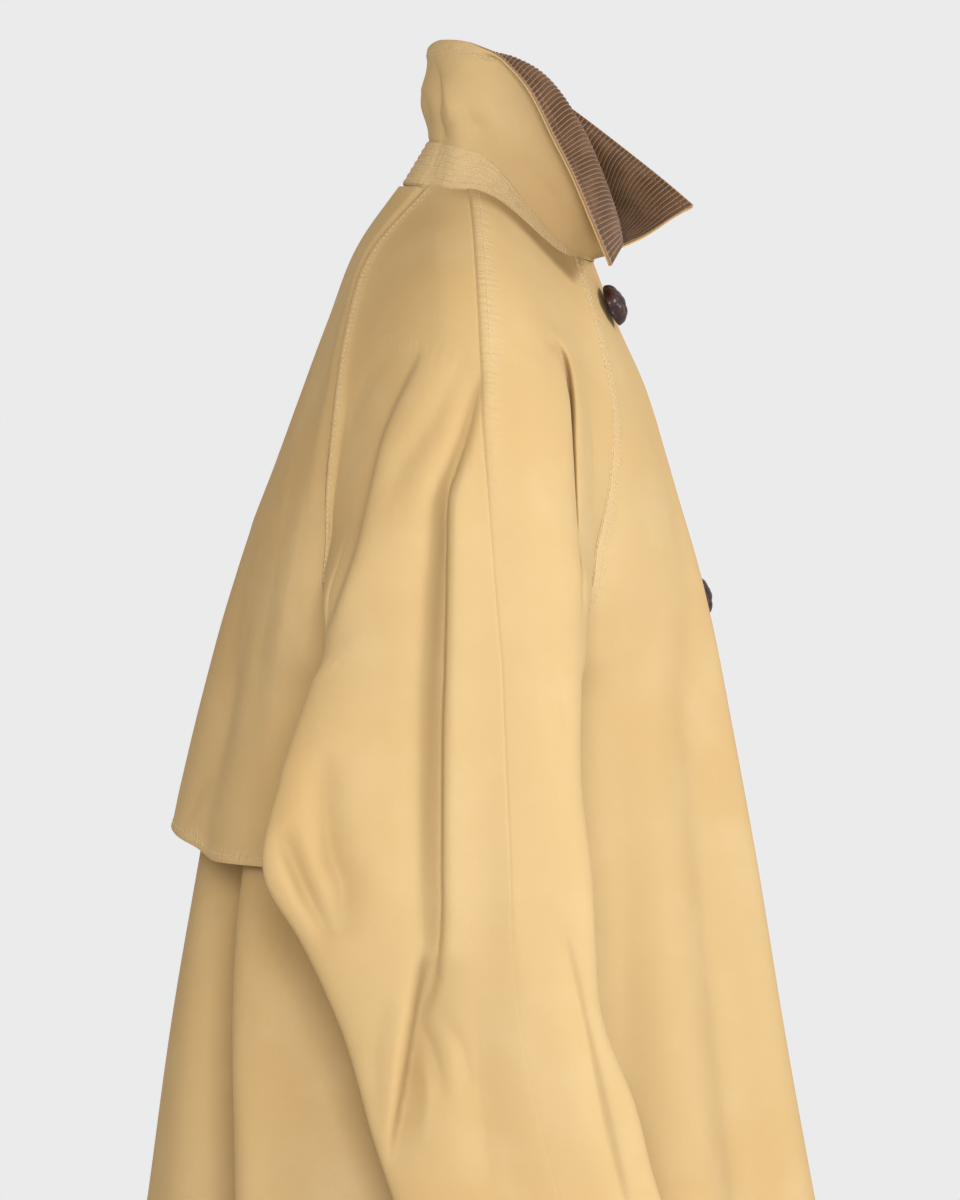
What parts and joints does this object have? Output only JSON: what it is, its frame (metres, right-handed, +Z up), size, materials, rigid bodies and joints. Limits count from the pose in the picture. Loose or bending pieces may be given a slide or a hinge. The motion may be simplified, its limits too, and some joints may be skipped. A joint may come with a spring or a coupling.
{
  "type": "car coat",
  "caption": "Loose raglan car coat in its worn form, with a stood-up corduroy-faced collar, a back storm flap, wide sleeves and braided buttons.",
  "frame": {"origin": "middle of the neck opening at the height of the shoulder neck points, where the wearer's shoulders hold the coat", "axes": "+Z up along the wearer's back, the coat's front faces -Y, the wearer's right is -X"},
  "size_m": [0.732, 0.5645, 1.1046],
  "materials": {
    "khaki_cotton": "washed cotton twill, soft sheen, uneven garment dye",
    "brown_corduroy": "corduroy with raised wales",
    "brown_leather": "braided leather, soft gloss"
  },
  "bodies": {
    "root": {"back": "khaki_cotton", "back_cape": "khaki_cotton", "front_right": "khaki_cotton", "front_left": "khaki_cotton", "sleeve_right_front": "khaki_cotton", "sleeve_right_back": "khaki_cotton", "sleeve_left_front": "khaki_cotton", "sleeve_left_back": "khaki_cotton", "collar_stand": "khaki_cotton", "collar_leaf": "khaki_cotton", "collar_facing": "brown_corduroy", "button_1": "brown_leather", "button_2": "brown_leather", "button_3": "brown_leather", "button_4": "brown_leather"}
  },
  "joints": []
}
